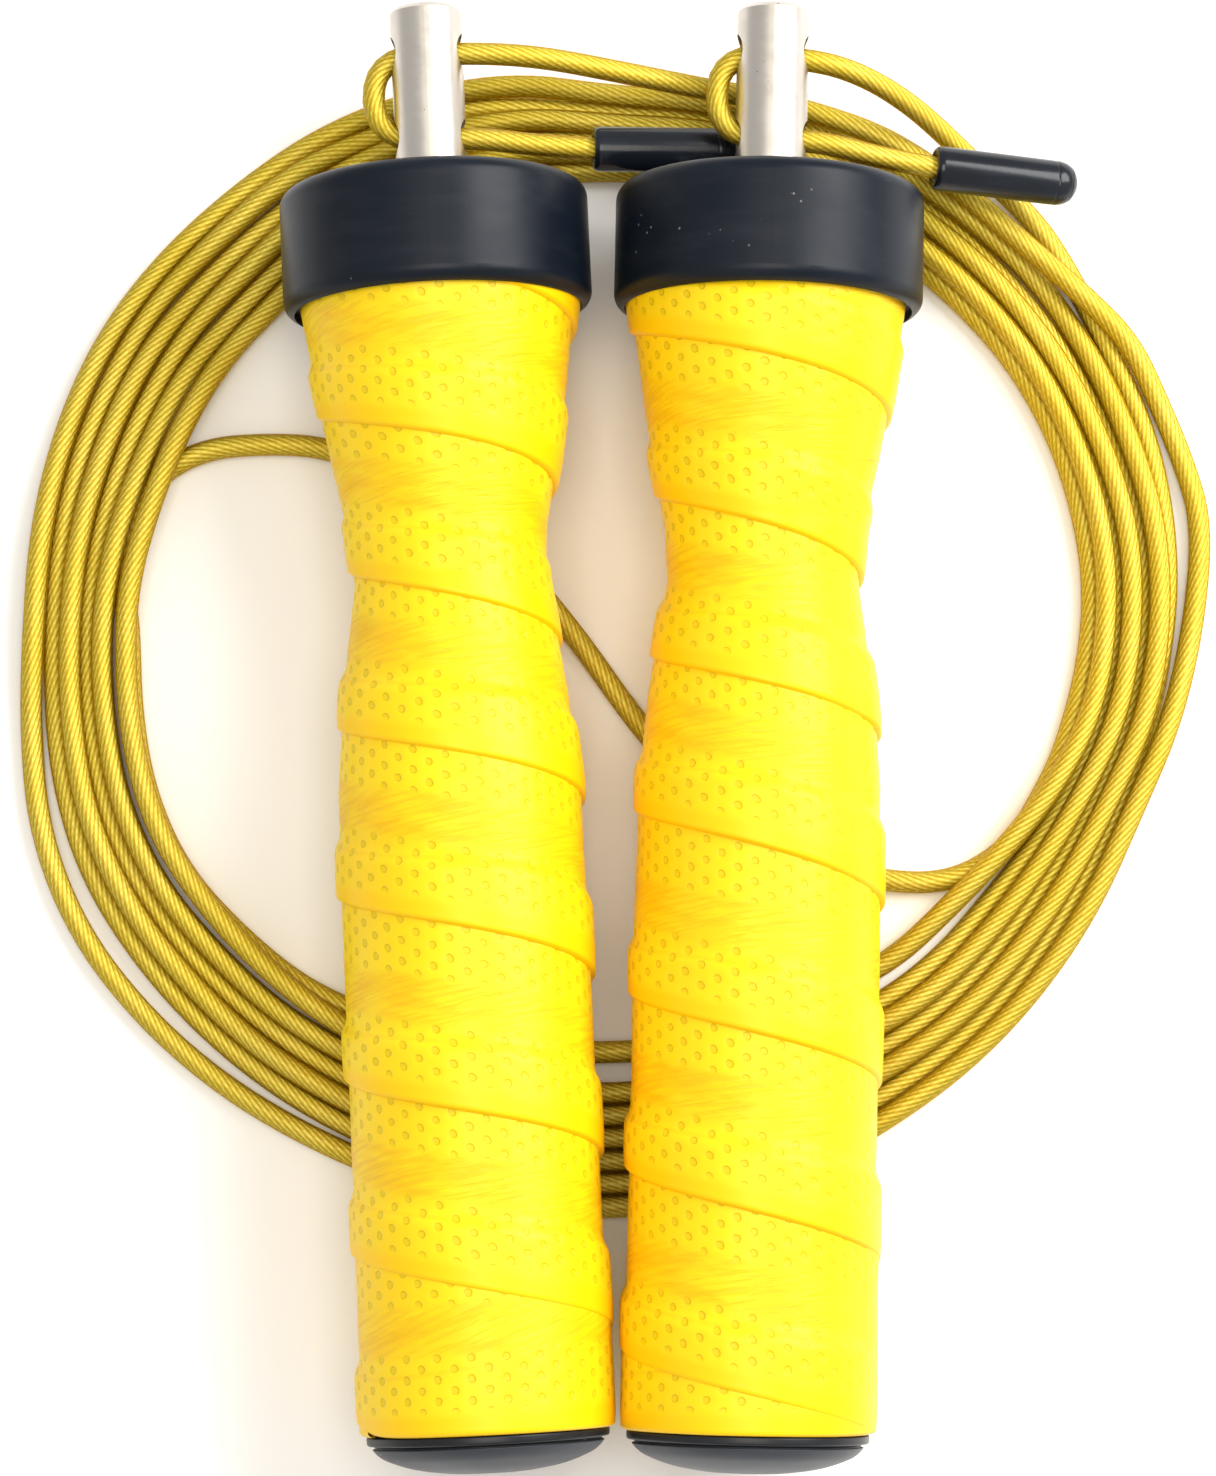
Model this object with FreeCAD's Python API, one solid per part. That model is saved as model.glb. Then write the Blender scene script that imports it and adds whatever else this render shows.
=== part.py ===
"""Speed jump rope with two ball-bearing handles, lying on its own coiled rope.

The frame is X to the right, Y from the butt caps towards the spindles and Z up. The origin is on the
surface that the rope lies on, under the middle of the two handles. Lengths are in millimetres.

Each handle is built about its own axis, where `along` runs from the butt cap towards the spindle and
`across` is the distance from the axis, and is then placed in the common frame.
"""

import FreeCAD, Part
import math
import os
from FreeCAD import Placement, Rotation, Vector

# Where the two handles lie.
COLLAR_R = 20.3
AXIS_Z = COLLAR_R
HANDLES = {
    "left": {"axis_x": -18.95, "yaw_deg": 2.75},
    "right": {"axis_x": 20.55, "yaw_deg": -1.25},
}

# Distances along a handle's axis, from its middle.
SPINDLE_END = 95.8
UPPER_HOLE = 89.8
LOWER_HOLE = 78.3
COLLAR_FRONT = 71.4
COLLAR_BACK = 55.0
FRONT_BEARING = 64.5
REAR_BEARING = 45.5
SPIGOT_END = 40.0
TAPE_END = -90.6
DOME_END = -95.8

# Spindle.
SPINDLE_R = 4.75
JOURNAL_R = 4.0
THREAD_R = 3.0
THREAD_END = 33.0
THREAD_START = 41.0
HOLE_R = 2.5

# Ball bearings, size 608.
RACE_WIDTH = 7.0
BEARING_R = 11.0
INNER_RACE_R = 6.1
OUTER_RACE_BORE_R = 8.9
BALL_PITCH_R = 7.5
BALL_R = 1.984
BALL_COUNT = 7
BALL_PLAY = 0.1
CAGE_INNER_R = 6.7
CAGE_OUTER_R = 8.3
CAGE_WIDTH = 5.2

# Collar, circlip, spacer, washer and nut.
SPIGOT_R = 12.5
COLLAR_MOUTH_R = 9.0
COLLAR_FILLET = 2.0
RECESS_R = 18.9
RECESS_DEPTH = 1.3
CIRCLIP_WIDTH = 1.0
CIRCLIP_R = 11.6
CIRCLIP_BORE_R = 9.6
CIRCLIP_GAP = 6.0
SPACER_R = 5.6
WASHER_R = 6.0
WASHER_WIDTH = 1.6
NUT_ACROSS_FLATS = 10.0
NUT_WIDTH = 5.0

# Grip: the tape's outline, as distance along the axis and radius, from the collar to the butt.
TAPE_OUTLINE = [
    (56.0, 18.4),
    (44.8, 16.7),
    (35.0, 15.1),
    (26.0, 13.3),
    (19.0, 12.8),
    (12.3, 13.8),
    (4.0, 15.0),
    (-8.0, 16.0),
    (-25.0, 16.2),
    (-55.0, 16.2),
    (-89.4, 16.35),
]
TAPE_THICKNESS = 1.4
TAPE_EDGE = 0.6
CORE_BORE_R = 8.0
CORE_BORE_END = -78.0
PLUG_R = 10.0
CAP_RIM_R = 15.5
CAP_RIM_END = -91.9
CAP_GROOVE_R = 14.2
CAP_DOME_R = 14.7
CAP_DOME_START = -92.2
CAP_FACE_R = 5.0

# Rope and the vinyl tips on its two ends.
ROPE_R = 1.5
TIP_R = 2.95
TIP_LENGTH = 19.7
TIP_OVERLAP = 17.7
LOOP_REACH = 7.3
HOLE_MOUTH = 5.7
BEND_SHARE = 0.45

# Free stretches of the rope. The tails run from the tip to the spindle's lower hole, the leads run
# from its upper hole to the coil, and the crossing runs across the coil from side to side.
LEFT_TAIL = [(16.3, 78.1, 14.7), (7.6, 78.0, 15.6), (-1.0, 77.8, 16.9), (-9.6, 77.9, 18.8)]
LEFT_LEAD = [
    (-8.3, 89.9, 18.6),
    (2.3, 88.9, 14.6),
    (13.1, 87.8, 10.4),
    (20.4, 87.0, 8.7),
    (29.1, 85.2, 6.9),
    (37.5, 82.5, 6.1),
    (45.0, 77.8, 6.0),
    (51.7, 72.1, 5.7),
    (58.4, 66.4, 5.1),
    (65.0, 60.5, 5.1),
    (71.4, 54.6, 3.1),
    (75.2, 46.6, 1.8),
    (78.5, 38.5, 1.5),
]
RIGHT_TAIL = [(61.4, 74.2, 12.3), (53.6, 74.8, 13.6), (44.5, 75.5, 15.6), (36.4, 76.4, 18.2)]
RIGHT_LEAD = [
    (34.8, 87.6, 17.6),
    (40.7, 85.4, 12.6),
    (45.7, 82.4, 8.2),
    (51.0, 78.4, 3.9),
    (57.2, 73.2, 1.7),
    (61.9, 67.2, 1.5),
]
CROSSING = [
    (-64.6, 21.5, 1.5),
    (-63.8, 29.4, 1.5),
    (-60.7, 36.2, 1.5),
    (-54.2, 40.1, 1.5),
    (-46.2, 40.9, 1.5),
    (-37.0, 40.5, 1.5),
    (-25.0, 35.6, 1.5),
    (-14.2, 27.2, 1.5),
    (-4.4, 15.9, 1.5),
    (5.2, 1.9, 1.5),
    (14.8, -8.4, 1.5),
    (26.0, -15.3, 1.5),
    (37.5, -18.6, 1.5),
    (47.0, -18.6, 1.5),
    (54.8, -13.8, 1.5),
    (59.5, -5.9, 1.5),
    (62.6, 0.8, 1.5),
]

# The coil's outer shape: a flat ring of one layer, with a raised stretch of two layers on each side.
COIL_OUTER = {"centre": (0.0, 15.2), "r": 79.8}
COIL_INNER = {"centre": (0.9, 16.6), "r": 61.0}
COIL_LAYER = 3.0
COIL_RAISED = 5.0
COIL_RAISED_SECTORS_DEG = [(-35.0, 62.0), (165.0, 235.0)]
COLLAR_CLEARANCE = 0.5

Y_AXIS = Vector(0, 1, 0)


def placement(side):
    """The handle's place: its axis level at AXIS_Z and turned by its yaw."""
    handle = HANDLES[side]
    turn = Rotation(Vector(0, 0, 1), handle["yaw_deg"])
    return Placement(Vector(handle["axis_x"], 0, AXIS_Z), turn)


def turned(outline):
    """A solid of revolution about the handle's axis from (along, across) corners."""
    corners = [Vector(across, along, 0) for along, across in outline]
    face = Part.Face(Part.makePolygon(corners + corners[:1]))
    return face.revolve(Vector(0, 0, 0), Y_AXIS, 360)


def disc(start, end, radius):
    """A cylinder about the handle's axis."""
    return Part.makeCylinder(radius, end - start, Vector(0, start, 0), Y_AXIS)


def ring(start, end, inner_r, outer_r):
    """A plain ring about the handle's axis."""
    return disc(start, end, outer_r).cut(disc(start - 1, end + 1, inner_r))


def smooth_outline(points):
    """A smooth curve through (along, across) points."""
    curve = Part.BSplineCurve()
    curve.interpolate([Vector(across, along, 0) for along, across in points])
    return curve.toShape()


def circular_edges(shape, along, radius):
    """The shape's circles of this radius at this place along the axis."""
    found = []
    for edge in shape.Edges:
        if isinstance(edge.Curve, Part.Circle):
            same_place = abs(edge.Curve.Center.y - along) < 1e-3
            if same_place and abs(edge.Curve.Radius - radius) < 1e-3:
                found.append(edge)
    return found


# Spindle and what is clamped on it


def spindle():
    """A pin with two cross-holes, a shoulder against the front bearing and a threaded end."""
    shoulder = FRONT_BEARING + RACE_WIDTH / 2
    body = disc(shoulder, SPINDLE_END, SPINDLE_R)
    body = body.makeChamfer(0.6, circular_edges(body, SPINDLE_END, SPINDLE_R))
    body = body.fuse(disc(THREAD_START, shoulder, JOURNAL_R))
    body = body.fuse(disc(THREAD_END, THREAD_START, THREAD_R))
    for along in (UPPER_HOLE, LOWER_HOLE):
        start = Vector(-2 * SPINDLE_R, along, 0)
        body = body.cut(Part.makeCylinder(HOLE_R, 4 * SPINDLE_R, start, Vector(1, 0, 0)))
    return body.removeSplitter()


def bearing_spacer():
    rear = REAR_BEARING + RACE_WIDTH / 2
    front = FRONT_BEARING - RACE_WIDTH / 2
    return ring(rear, front, JOURNAL_R, SPACER_R)


def spindle_washer():
    front = REAR_BEARING - RACE_WIDTH / 2
    return ring(front - WASHER_WIDTH, front, JOURNAL_R, WASHER_R)


def spindle_nut():
    front = REAR_BEARING - RACE_WIDTH / 2 - WASHER_WIDTH
    corner_r = NUT_ACROSS_FLATS / math.sqrt(3)
    corners = []
    for index in range(6):
        angle = math.radians(60 * index)
        corners.append(Vector(corner_r * math.cos(angle), front, corner_r * math.sin(angle)))
    face = Part.Face(Part.makePolygon(corners + corners[:1]))
    body = face.extrude(Vector(0, -NUT_WIDTH, 0))
    return body.cut(disc(front - NUT_WIDTH - 1, front + 1, THREAD_R))


# Ball bearings


def ball_track(along):
    """The space that the balls sweep, with their play."""
    return Part.makeTorus(BALL_PITCH_R, BALL_R + BALL_PLAY, Vector(0, along, 0), Y_AXIS)


def inner_race(along):
    half = RACE_WIDTH / 2
    return ring(along - half, along + half, JOURNAL_R, INNER_RACE_R).cut(ball_track(along))


def outer_race(along):
    half = RACE_WIDTH / 2
    return ring(along - half, along + half, OUTER_RACE_BORE_R, BEARING_R).cut(ball_track(along))


def ball_angles_deg():
    return [360 * (index + 0.5) / BALL_COUNT for index in range(BALL_COUNT)]


def balls(along):
    """The bearing's balls, evenly spaced on the pitch circle."""
    spheres = []
    for angle in ball_angles_deg():
        x = BALL_PITCH_R * math.cos(math.radians(angle))
        z = BALL_PITCH_R * math.sin(math.radians(angle))
        spheres.append(Part.makeSphere(BALL_R, Vector(x, along, z)))
    return Part.makeCompound(spheres)


def cage(along):
    """A band with a square pocket for each ball."""
    half = CAGE_WIDTH / 2
    body = ring(along - half, along + half, CAGE_INNER_R, CAGE_OUTER_R)
    side = 2 * (BALL_R + BALL_PLAY)
    for angle in ball_angles_deg():
        corner = Vector(CAGE_INNER_R - 1, along - side / 2, -side / 2)
        pocket = Part.makeBox(CAGE_OUTER_R - CAGE_INNER_R + 2, side, side, corner)
        pocket.rotate(Vector(0, along, 0), Y_AXIS, -angle)
        body = body.cut(pocket)
    return body


# What turns with the hand


def collar():
    """The bearing housing: a rounded flange that laps over the tape, a spigot and a stepped bore."""
    flange = disc(COLLAR_BACK, COLLAR_FRONT, COLLAR_R)
    edges = circular_edges(flange, COLLAR_BACK, COLLAR_R) + circular_edges(flange, COLLAR_FRONT, COLLAR_R)
    flange = flange.makeFillet(COLLAR_FILLET, edges)
    recess_end = COLLAR_BACK + RECESS_DEPTH
    flange = flange.cut(disc(COLLAR_BACK - 1, recess_end, RECESS_R))
    body = flange.fuse(disc(SPIGOT_END, recess_end, SPIGOT_R))
    rear_seat = REAR_BEARING - RACE_WIDTH / 2
    body = body.cut(disc(rear_seat, COLLAR_FRONT + 1, BEARING_R))
    body = body.cut(disc(SPIGOT_END - 1, rear_seat + 1, COLLAR_MOUTH_R))
    groove = FRONT_BEARING + RACE_WIDTH / 2
    return body.cut(disc(groove, groove + CIRCLIP_WIDTH, CIRCLIP_R))


def bearing_circlip():
    """An open ring in the collar's groove, in front of the front bearing."""
    groove = FRONT_BEARING + RACE_WIDTH / 2
    body = ring(groove, groove + CIRCLIP_WIDTH, CIRCLIP_BORE_R, CIRCLIP_R)
    gap = Part.makeBox(CIRCLIP_GAP, 3, 4, Vector(-CIRCLIP_GAP / 2, groove - 1, CIRCLIP_BORE_R - 1))
    return body.cut(gap)


def outer_race_spacer():
    rear = REAR_BEARING + RACE_WIDTH / 2
    front = FRONT_BEARING - RACE_WIDTH / 2
    return ring(rear, front, OUTER_RACE_BORE_R + 0.5, BEARING_R)


def grip_shell(outline):
    """A solid of revolution under a smooth outline, from the collar to the butt."""
    start = Vector(0, outline[0][0], 0)
    end = Vector(0, outline[-1][0], 0)
    curve = smooth_outline(outline)
    first = Vector(outline[0][1], outline[0][0], 0)
    last = Vector(outline[-1][1], outline[-1][0], 0)
    sides = [Part.makeLine(start, first), curve, Part.makeLine(last, end), Part.makeLine(end, start)]
    face = Part.Face(Part.Wire(sides))
    return face.revolve(Vector(0, 0, 0), Y_AXIS, 360)


def core_outline():
    """The core's outline lies one tape thickness under the tape's, and ends at the cap."""
    points = [(along, across - TAPE_THICKNESS) for along, across in TAPE_OUTLINE]
    points[-1] = (TAPE_END, points[-1][1])
    return points


def handle_core():
    """The moulded body: a socket for the collar's spigot and a hollow that the plug closes."""
    body = grip_shell(core_outline())
    top = TAPE_OUTLINE[0][0]
    body = body.cut(disc(SPIGOT_END - 1.0, top + 1, SPIGOT_R))
    body = body.cut(disc(TAPE_END - 1, SPIGOT_END, CORE_BORE_R))
    return body.cut(disc(TAPE_END - 1, CORE_BORE_END, PLUG_R))


def grip_tape():
    """The wound tape as one smooth shell with a rounded lower edge."""
    outline = TAPE_OUTLINE[:-1] + [(TAPE_END, TAPE_OUTLINE[-1][1])]
    body = grip_shell(outline)
    body = body.makeFillet(TAPE_EDGE, circular_edges(body, TAPE_END, outline[-1][1]))
    return body.cut(grip_shell(core_outline()))


def butt_cap():
    """A plug with a rim, a groove and a domed head that has a small flat face in its middle."""
    start = Vector(0, CAP_DOME_START, 0)
    edge = Vector(CAP_DOME_R, CAP_DOME_START, 0)
    shoulder = Vector(CAP_DOME_R * 0.82, CAP_DOME_START - 0.62 * (CAP_DOME_START - DOME_END), 0)
    face_edge = Vector(CAP_FACE_R, DOME_END, 0)
    middle = Vector(0, DOME_END, 0)
    dome = Part.Arc(edge, shoulder, face_edge).toShape()
    sides = [dome, Part.makeLine(face_edge, middle), Part.makeLine(middle, start), Part.makeLine(start, edge)]
    head = Part.Face(Part.Wire(sides)).revolve(Vector(0, 0, 0), Y_AXIS, 360)
    head = head.fuse(disc(CAP_DOME_START, CAP_RIM_END, CAP_GROOVE_R))
    head = head.fuse(disc(CAP_RIM_END, TAPE_END, CAP_RIM_R))
    plug = ring(TAPE_END, CORE_BORE_END, PLUG_R - 2.0, PLUG_R)
    return head.fuse(plug).removeSplitter()


# Rope


def local_point(side, across, along):
    """A point on the level plane through a handle's axis, in the common frame."""
    return placement(side).multVec(Vector(across, along, 0))


def loop_points(side):
    """Through the lower hole, round outside the spindle and back through the upper hole."""
    return [
        local_point(side, HOLE_MOUTH, LOWER_HOLE),
        local_point(side, -LOOP_REACH, LOWER_HOLE),
        local_point(side, -LOOP_REACH, UPPER_HOLE),
        local_point(side, HOLE_MOUTH, UPPER_HOLE),
    ]


def bent_path(points):
    """Straight runs joined by tangent arcs, each as large as its two runs allow."""
    edges = []
    radii = []
    here = points[0]
    for before, corner, after in zip(points, points[1:], points[2:]):
        back = (before - corner).normalize()
        on = (after - corner).normalize()
        half_turn = (math.pi - back.getAngle(on)) / 2
        shorter = min((before - corner).Length, (after - corner).Length)
        tangent = BEND_SHARE * shorter
        radius = tangent / math.tan(half_turn)
        radii.append(radius)
        arc_start = corner + back * tangent
        arc_end = corner + on * tangent
        middle_way = (back + on).normalize()
        arc_middle = corner + middle_way * (radius / math.cos(half_turn) - radius)
        edges.append(Part.LineSegment(here, arc_start).toShape())
        edges.append(Part.Arc(arc_start, arc_middle, arc_end).toShape())
        here = arc_end
    edges.append(Part.LineSegment(here, points[-1]).toShape())
    return Part.Wire(edges), radii


def rope_tube(name, points):
    """A plain tube along the rope's route."""
    path, radii = bent_path(points)
    profile = Part.Wire(Part.makeCircle(ROPE_R, points[0], points[1] - points[0]))
    tube = path.makePipeShell([profile], True, False)
    share = tube.Volume / (math.pi * ROPE_R**2 * path.Length)
    print(name, "length", round(path.Length, 1), "volume share", round(share, 4))
    print("  radii", [round(radius, 1) for radius in radii])
    return tube


def end_route(side, tail, lead):
    return [Vector(*p) for p in tail] + loop_points(side) + [Vector(*p) for p in lead]


def rope_tip(tail):
    """A vinyl tip: a blind tube with a round end, pushed over the rope's end."""
    end = Vector(*tail[0])
    mouth_way = (Vector(*tail[2]) - end).normalize()
    mouth = end + mouth_way * TIP_OVERLAP
    body = Part.makeCylinder(TIP_R, TIP_LENGTH - TIP_R, mouth, -mouth_way)
    body = body.fuse(Part.makeSphere(TIP_R, mouth - mouth_way * (TIP_LENGTH - TIP_R)))
    bore = Part.makeCylinder(ROPE_R, TIP_OVERLAP, mouth, -mouth_way)
    return body.removeSplitter().cut(bore)


def flat_ring(height):
    outer_centre = Vector(*COIL_OUTER["centre"], 0)
    inner_centre = Vector(*COIL_INNER["centre"], 0)
    outer = Part.makeCylinder(COIL_OUTER["r"], height, outer_centre)
    return outer.cut(Part.makeCylinder(COIL_INNER["r"], height, inner_centre))


def rope_coil():
    """The coil's outer shape, cut clear of the two collars."""
    body = flat_ring(COIL_LAYER)
    centre = Vector(*COIL_OUTER["centre"], 0)
    reach = COIL_OUTER["r"] + 10
    for start, end in COIL_RAISED_SECTORS_DEG:
        wedge = Part.makeCylinder(reach, COIL_RAISED, centre, Vector(0, 0, 1), end - start)
        wedge.rotate(centre, Vector(0, 0, 1), start)
        body = body.fuse(flat_ring(COIL_RAISED).common(wedge))
    for side in HANDLES:
        cleared = disc(COLLAR_BACK - 1, COLLAR_FRONT + COLLAR_CLEARANCE, COLLAR_R + COLLAR_CLEARANCE)
        cleared.Placement = placement(side)
        body = body.cut(cleared)
    return body.removeSplitter()


def handle_nodes(side):
    """Every piece of one handle and its spindle, in the common frame."""
    nodes = {
        "spindle": spindle(),
        "spindle_nut": spindle_nut(),
        "spindle_washer": spindle_washer(),
        "bearing_spacer": bearing_spacer(),
        "outer_race_spacer": outer_race_spacer(),
        "bearing_circlip": bearing_circlip(),
        "collar": collar(),
        "handle_core": handle_core(),
        "grip_tape": grip_tape(),
        "butt_cap": butt_cap(),
    }
    for place, along in (("front", FRONT_BEARING), ("rear", REAR_BEARING)):
        nodes[place + "_inner_race"] = inner_race(along)
        nodes[place + "_outer_race"] = outer_race(along)
        nodes[place + "_balls"] = balls(along)
        nodes[place + "_cage"] = cage(along)
    placed = {}
    for name, shape in nodes.items():
        shape.Placement = placement(side).multiply(shape.Placement)
        placed[side + "_" + name] = shape
    return placed


def rope_nodes():
    crossing = [Vector(*p) for p in CROSSING]
    return {
        "rope_coil": rope_coil(),
        "rope_crossing": rope_tube("rope_crossing", crossing),
        "rope_left_end": rope_tube("rope_left_end", end_route("left", LEFT_TAIL, LEFT_LEAD)),
        "rope_right_end": rope_tube("rope_right_end", end_route("right", RIGHT_TAIL, RIGHT_LEAD)),
        "left_rope_tip": rope_tip(LEFT_TAIL),
        "right_rope_tip": rope_tip(RIGHT_TAIL),
    }


def main():
    os.makedirs("parts", exist_ok=True)
    nodes = {}
    for side in HANDLES:
        nodes.update(handle_nodes(side))
    nodes.update(rope_nodes())
    for name, shape in nodes.items():
        box = shape.BoundBox
        low = [round(v, 2) for v in (box.XMin, box.YMin, box.ZMin)]
        high = [round(v, 2) for v in (box.XMax, box.YMax, box.ZMax)]
        print(name, "valid", shape.isValid(), "solids", len(shape.Solids), low, high)
        shape.exportStep("parts/" + name + ".step")


main()
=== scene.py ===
import math

import bpy
import numpy as np
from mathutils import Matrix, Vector


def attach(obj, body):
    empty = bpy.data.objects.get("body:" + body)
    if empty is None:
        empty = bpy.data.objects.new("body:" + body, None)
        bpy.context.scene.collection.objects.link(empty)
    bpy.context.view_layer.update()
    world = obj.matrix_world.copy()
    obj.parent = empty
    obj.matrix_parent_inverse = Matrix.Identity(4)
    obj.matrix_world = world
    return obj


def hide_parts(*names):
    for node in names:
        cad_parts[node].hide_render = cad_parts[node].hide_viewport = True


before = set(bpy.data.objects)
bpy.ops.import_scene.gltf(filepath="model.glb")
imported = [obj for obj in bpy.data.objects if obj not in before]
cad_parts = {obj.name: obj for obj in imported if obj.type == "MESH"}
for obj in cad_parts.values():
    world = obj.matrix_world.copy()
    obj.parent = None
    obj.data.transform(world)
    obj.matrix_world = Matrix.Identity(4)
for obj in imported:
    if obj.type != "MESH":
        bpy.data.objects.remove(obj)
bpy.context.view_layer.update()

MM = 0.001
SIDES = ("left", "right")

# ---------------------------------------------------------------- the part's own sizes, mm
AXIS_Z = 20.3
# Each handle's axis: its x at the middle of the handle, mm, and its turn from +Y, degrees.
HANDLES = {"left": (-18.95, 2.75), "right": (20.55, -1.25)}
TAPE_START = 56.0
TAPE_END = -90.6
ROPE_D = 3.0


def handle_points(side, across, along, up=0.0):
    """Points in the common frame, mm, from places in a handle's own directions about its axis."""
    axis_x, yaw = HANDLES[side]
    turn = math.radians(yaw)
    x = axis_x + across * math.cos(turn) - along * math.sin(turn)
    y = across * math.sin(turn) + along * math.cos(turn)
    return np.stack([x, y, AXIS_Z + up], axis=-1)


def smooth(x, low, high):
    """Eased from 0 at low to 1 at high, for a number or an array."""
    t = np.clip((x - low) / (high - low), 0.0, 1.0)
    return t * t * (3 - 2 * t)


def band(x, start, full, leave, end):
    """Rises from 0 to 1 between start and full, and falls back between leave and end."""
    return smooth(x, start, full) * (1 - smooth(x, leave, end))


def waves(x, y, seed, count=14, least=0.4, most=1.6):
    """Soft unevenness, about -1 to 1, over x and y. It is the same for the same seed."""
    random = np.random.default_rng(seed)
    total = np.zeros(np.broadcast(x, y).shape)
    for _ in range(count):
        turn, size, start = random.uniform(0, 2 * math.pi), random.uniform(least, most), random.uniform(0, 7)
        total += np.sin((x * math.cos(turn) + y * math.sin(turn)) * size + start)
    return total / count * 1.6


# ---------------------------------------------------------------- camera
CAMERA_PLACE = (0.000715, -0.06963, 0.60135)
CAMERA_TILT_DEG = 6.7
CAMERA_LENS = 109.756

camera_data = bpy.data.cameras.new("camera")
camera_data.lens = CAMERA_LENS
camera_data.sensor_width = 36.0
camera_data.clip_start = 0.01
camera_data.clip_end = 20.0
camera = bpy.data.objects.new("camera", camera_data)
camera.location = CAMERA_PLACE
camera.rotation_euler = (math.radians(CAMERA_TILT_DEG), 0.0, 0.0)
bpy.context.scene.collection.objects.link(camera)
bpy.context.scene.camera = camera
bpy.context.scene.view_settings.view_transform = "Standard"


# ---------------------------------------------------------------- mesh and node helpers
def grid_faces(rows, columns, closed=False):
    """Quads of a rows x columns grid of points, as an array. closed joins the last column to the first."""
    r = np.arange(rows - 1)[:, None]
    c = np.arange(columns if closed else columns - 1)[None, :]
    d = (c + 1) % columns
    quads = np.stack([r * columns + c, r * columns + d, (r + 1) * columns + d, (r + 1) * columns + c], -1)
    return quads.reshape(-1, 4)


def mesh_object(name, points, faces, material):
    """A mesh piece from points in metres and a list or array of faces."""
    mesh = bpy.data.meshes.new(name)
    mesh.from_pydata(np.asarray(points).tolist(), [], [list(map(int, f)) for f in faces])
    mesh.validate()
    mesh.update()
    mesh.polygons.foreach_set("use_smooth", [True] * len(mesh.polygons))
    obj = bpy.data.objects.new(name, mesh)
    bpy.context.scene.collection.objects.link(obj)
    obj.data.materials.append(material)
    return obj


def add_vectors(obj, name, values):
    """A vector per vertex, which a material reads by name."""
    attribute = obj.data.attributes.new(name, "FLOAT_VECTOR", "POINT")
    attribute.data.foreach_set("vector", np.asarray(values, np.float32).ravel())


class Nodes:
    """Short ways to add and join a material's nodes."""

    def __init__(self, name):
        self.material = bpy.data.materials.new(name)
        self.material.use_nodes = True
        self.tree = self.material.node_tree
        self.tree.nodes.clear()
        self.output = self.tree.nodes.new("ShaderNodeOutputMaterial")

    def add(self, kind, inputs=None, **settings):
        node = self.tree.nodes.new("ShaderNode" + kind)
        for key, value in settings.items():
            setattr(node, key, value)
        for key, value in (inputs or {}).items():
            self.put(node.inputs[key], value)
        return node

    def put(self, socket, value):
        if isinstance(value, bpy.types.NodeSocket):
            self.tree.links.new(value, socket)
        elif isinstance(value, bpy.types.Node):
            self.tree.links.new(value.outputs[0], socket)
        elif isinstance(value, tuple) and len(value) == 3 and socket.type == "RGBA":
            socket.default_value = (*value, 1.0)
        else:
            socket.default_value = value

    def math(self, operation, a, b=0.0, c=0.0, clamp=False):
        node = self.add("Math", {0: a, 1: b, 2: c}, operation=operation, use_clamp=clamp)
        return node.outputs[0]

    def ramp(self, value, low, high, to_low=0.0, to_high=1.0):
        """value eased from low..high to to_low..to_high."""
        inputs = {"Value": value, "From Min": low, "From Max": high, "To Min": to_low, "To Max": to_high}
        return self.add("MapRange", inputs, interpolation_type="SMOOTHSTEP").outputs[0]

    def mix(self, share, a, b):
        node = self.add("Mix", {0: share}, data_type="RGBA")
        self.put(node.inputs[6], a)
        self.put(node.inputs[7], b)
        return node.outputs[2]

    def noise(self, where, scale, detail=3.0, roughness=0.5, distortion=0.0):
        inputs = {"Vector": where, "Scale": scale, "Detail": detail, "Roughness": roughness}
        inputs["Distortion"] = distortion
        return self.add("TexNoise", inputs).outputs[0]

    def bump(self, height, strength, distance, normal=None):
        inputs = {"Height": height, "Strength": strength, "Distance": distance}
        if normal is not None:
            inputs["Normal"] = normal
        return self.add("Bump", inputs).outputs[0]

    def attribute(self, name):
        return self.add("Attribute", attribute_name=name).outputs["Vector"]

    def place(self):
        return self.add("TexCoord").outputs["Object"]

    def finish(self, shader):
        self.put(self.output.inputs["Surface"], shader.outputs[0])
        return self.material


# ---------------------------------------------------------------- the rope's route, mm
# The spindle's holes along the handle, and how far across it the rope's loop reaches on either side.
LOWER_HOLE = 78.3
UPPER_HOLE = 89.8
UPPER_MOUTH = {"left": 89.8, "right": 89.2}
HOLE_MOUTH = 5.7
LOOP_OUT = -7.3
COIL_CENTRE = (1.25, 15.74)
LEFT_TAIL = [(16.3, 78.1, 14.7), (7.6, 78.0, 15.6), (-1.0, 77.8, 16.9), (-9.6, 77.9, 18.8)]
LEFT_LEAD = [
    (-8.3, 89.9, 18.6),
    (2.3, 88.9, 14.6),
    (13.1, 87.8, 10.4),
    (20.4, 87.0, 8.7),
    (29.1, 85.2, 6.9),
    (37.5, 82.5, 6.1),
    (45.0, 77.8, 6.0),
    (51.7, 72.1, 5.7),
    (58.4, 66.4, 5.1),
    (65.0, 60.5, 5.1),
    (71.4, 54.6, 3.1),
    (75.2, 46.6, 1.8),
    (78.5, 38.5, 1.5),
]
RIGHT_TAIL = [(61.4, 74.2, 12.3), (53.6, 74.8, 13.6), (44.5, 75.5, 15.6), (36.4, 76.4, 18.2)]
RIGHT_LEAD = [
    (34.8, 87.6, 17.6),
    (40.7, 85.4, 12.6),
    (45.7, 82.4, 8.2),
    (51.0, 78.4, 3.9),
    (57.2, 73.2, 1.7),
    (61.9, 67.2, 1.5),
]
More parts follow.
